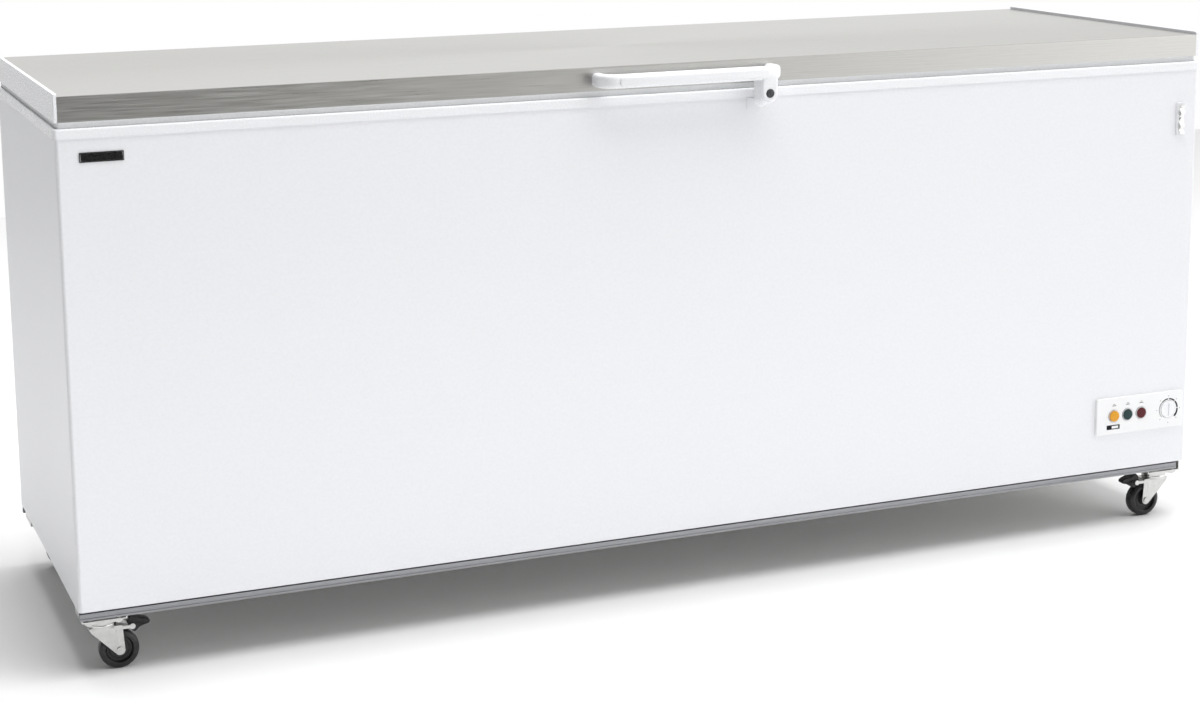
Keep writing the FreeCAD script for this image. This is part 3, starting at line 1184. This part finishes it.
def make_fork(corner, braked):
    """A pressed fork: a bridge with the moving half of the race, two cheeks and the pedal's ears."""
    cheek_low = "wheel_radius"
    pieces = []
    tip = "cheek_tip"
    side = [("-race_radius", "cheek_top"), ("-race_radius + 3", "cheek_top - 7"),
            (f"trail - {tip} * 0.78", f"{cheek_low} - {tip} * 0.62"), (f"trail + {tip}", cheek_low),
            (f"trail + {tip} - 3", "cheek_top")]
    for low in ("cheek_inner", "-cheek_inner - cheek_gauge"):
        pieces.append(pad("cheek", "XZ", [side], low, "cheek_gauge"))
        pieces.append(rod("cheek_end", "Y", ("trail", low, cheek_low), tip, "cheek_gauge"))
        if braked:
            ear_z = f"{cheek_low} + ear_z"
            arm = rectangle(("trail + cheek_tip - 6", f"{ear_z} - ear_arm / 2"),
                            ("(ear_x - cheek_tip + 6)", "ear_arm"))
            pieces.append(pad("ear_arm", "XZ", [arm], low, "cheek_gauge"))
            pieces.append(rod("ear", "Y", ("trail + ear_x", low, ear_z), "ear_radius", "cheek_gauge"))
    bridge = rectangle(("-race_radius", "-cheek_inner - cheek_gauge"),
                       ("trail + cheek_tip - 3 + race_radius", "2 * cheek_inner + 2 * cheek_gauge"))
    pieces.append(pad("bridge", "XY", [bridge], "cheek_top - cheek_gauge", "cheek_gauge"))
    height = "castor_height - 2 * plate_gauge - race_gap - cheek_top"
    pieces.append(rod("race", "Z", (0, 0, "cheek_top - cheek_gauge"), "race_radius",
                      f"{height} + cheek_gauge"))
    if braked:
        start = ("trail + ear_x", "-cheek_inner - cheek_gauge", f"{cheek_low} + ear_z")
        pieces.append(rod("pedal_pin", "Y", start,
                          "pivot_radius", "2 * cheek_inner + 2 * cheek_gauge"))
    bores = [rod("kingpin_bore", "Z", (0, 0, "cheek_top - 12"), "6 + axle_play", "40"),
             rod("axle_bore", "Y", ("trail", "-40", cheek_low), "axle_radius", "80")]
    fork = carve("fork_" + corner, fuse("fork_stock", pieces), bores)
    node(stand(fork, corner), "fork_" + corner)


def make_axle(corner):
    """The wheel's axle: a pin with a domed head outside each cheek."""
    reach = "cheek_inner + cheek_gauge"
    start = ("trail", f"-({reach}) - 1", "wheel_radius")
    shaft = rod("axle_pin", "Y", start, "axle_radius", f"2 * ({reach}) + 2")
    heads = [rod("axle_end", "Y", ("trail", low, "wheel_radius"), "axle_head", "2")
             for low in (reach, f"-({reach}) - 2")]
    axle = fuse("axle_" + corner, [shaft] + heads)
    node(stand(axle, corner), "axle_" + corner)


def make_wheel(corner):
    """A solid wheel: rounded tread, a web between two recesses and a raised hub with its bore."""
    centre = ("trail", "wheel_radius")
    half = "wheel_width / 2"
    wheel = pad("wheel", "XZ", [], f"-({half})", "wheel_width", circles=[(centre, "wheel_radius")])
    round_off(wheel, "wheel_edge", lambda edge: edge.BoundBox.YLength < 0.01)
    recess = [(centre, "rim_inner"), (centre, "hub_radius")]
    pocket(wheel, "XZ", [], "wheel_web", "wheel_width", circles=recess)
    pocket(wheel, "XZ", [], "-wheel_width - wheel_web", "wheel_width", circles=recess)
    pocket(wheel, "XZ", [], "-wheel_width", "2 * wheel_width",
           circles=[(centre, "axle_radius + axle_play")])
    node(stand(wheel, corner), "wheel_" + corner)


def make_pedal(corner):
    """The black brake pedal, hung on the fork's pin, with a pad that faces the tread."""
    x, z = "trail", "wheel_radius"
    corners = [(f"{x} + 14", f"{z} + 38"), (f"{x} + 16", f"{z} + 50"), (f"{x} + 22", f"{z} + 52"),
               (f"{x} + 30", f"{z} + 47"), (f"{x} + 49", f"{z} + 43"), (f"{x} + 50", f"{z} + 35"),
               (f"{x} + 34", f"{z} + 33.5"), (f"{x} + 26", f"{z} + 25"), (f"{x} + 21.5", f"{z} + 26")]
    lever = pad("pedal_lever", "XZ", [corners], "-pedal_width / 2", "pedal_width")
    round_off(lever, "2", runs_along("Y"))
    bore = rod("pivot_bore", "Y", ("trail + ear_x", "-20", "wheel_radius + ear_z"),
               "pivot_radius + pivot_play", "40")
    pedal = carve("pedal_" + corner, lever, [bore])
    node(stand(pedal, corner), "pedal_" + corner)


def make_castors():
    """Four swivel castors on brackets; the front two have brake pedals."""
    brackets, plates, bolts = [], [], []
    for corner in CORNERS:
        brackets.append(stand(bracket(), corner))
        plates.append(stand(top_plate(), corner))
        braked = corner.startswith("front")
        make_fork(corner, braked)
        make_axle(corner)
        make_wheel(corner)
        if braked:
            make_pedal(corner)
        x, y, _ = CORNERS[corner]
        for across in (-1, 1):
            for along in (-1, 1):
                place = (f"{x} + {across} * bolt_pitch / 2", f"{y} + {along} * bolt_pitch / 2")
                shank = rod("shank", "Z", place + ("castor_height - plate_gauge",), "bolt_radius",
                            "plate_gauge + bracket_gauge + 4")
                low = "castor_height - 2 * plate_gauge"
                head = rod("bolt_cap", "Z", place + (low,), "bolt_head", "plate_gauge")
                high = "castor_height + bracket_gauge"
                nut = rod("nut", "Z", place + (high,), "bolt_head", "plate_gauge")
                bolts.append(fuse("castor_bolt", [shank, head, nut]))
    node(group("castor_brackets", brackets), "castor_brackets")
    node(group("castor_plates", plates), "castor_plates")
    node(group("castor_bolts", bolts), "castor_bolts")


def check_and_write():
    """Stops on any failed object, then writes each sub-part to its own file."""
    DOC.recompute()
    for item in DOC.Objects:
        if "Invalid" in item.State or "Error" in item.State:
            raise RuntimeError(f"{item.Name} ({item.Label}) is {item.State}")
    os.makedirs("parts", exist_ok=True)
    for item in NODES:
        shape = item.Shape
        if shape.isNull() or not shape.isValid():
            raise RuntimeError(f"{item.Label} has no valid shape")
        shape.exportStep(os.path.join("parts", item.Label + ".step"))
        print(f"{item.Label}: {len(shape.Solids)} solid(s), {shape.Volume / 1000:.1f} cm3")
    print(len(NODES), "sub-parts")


make_outer_wrap()
make_back_panel()
make_tank_and_foam()
make_top_rim()
make_bottom_pan()
make_base_rails()
make_bay_cover()
make_cable_gland()
make_screws()
make_drain()
make_coils()
make_compressor()
make_pipes()
make_control_panel()
make_lamps()
make_thermostat()
make_front_trim()
make_lid_skin()
make_end_caps()
make_lid_core()
make_gasket()
make_handle()
make_lock()
make_hinges()
make_castors()
check_and_write()
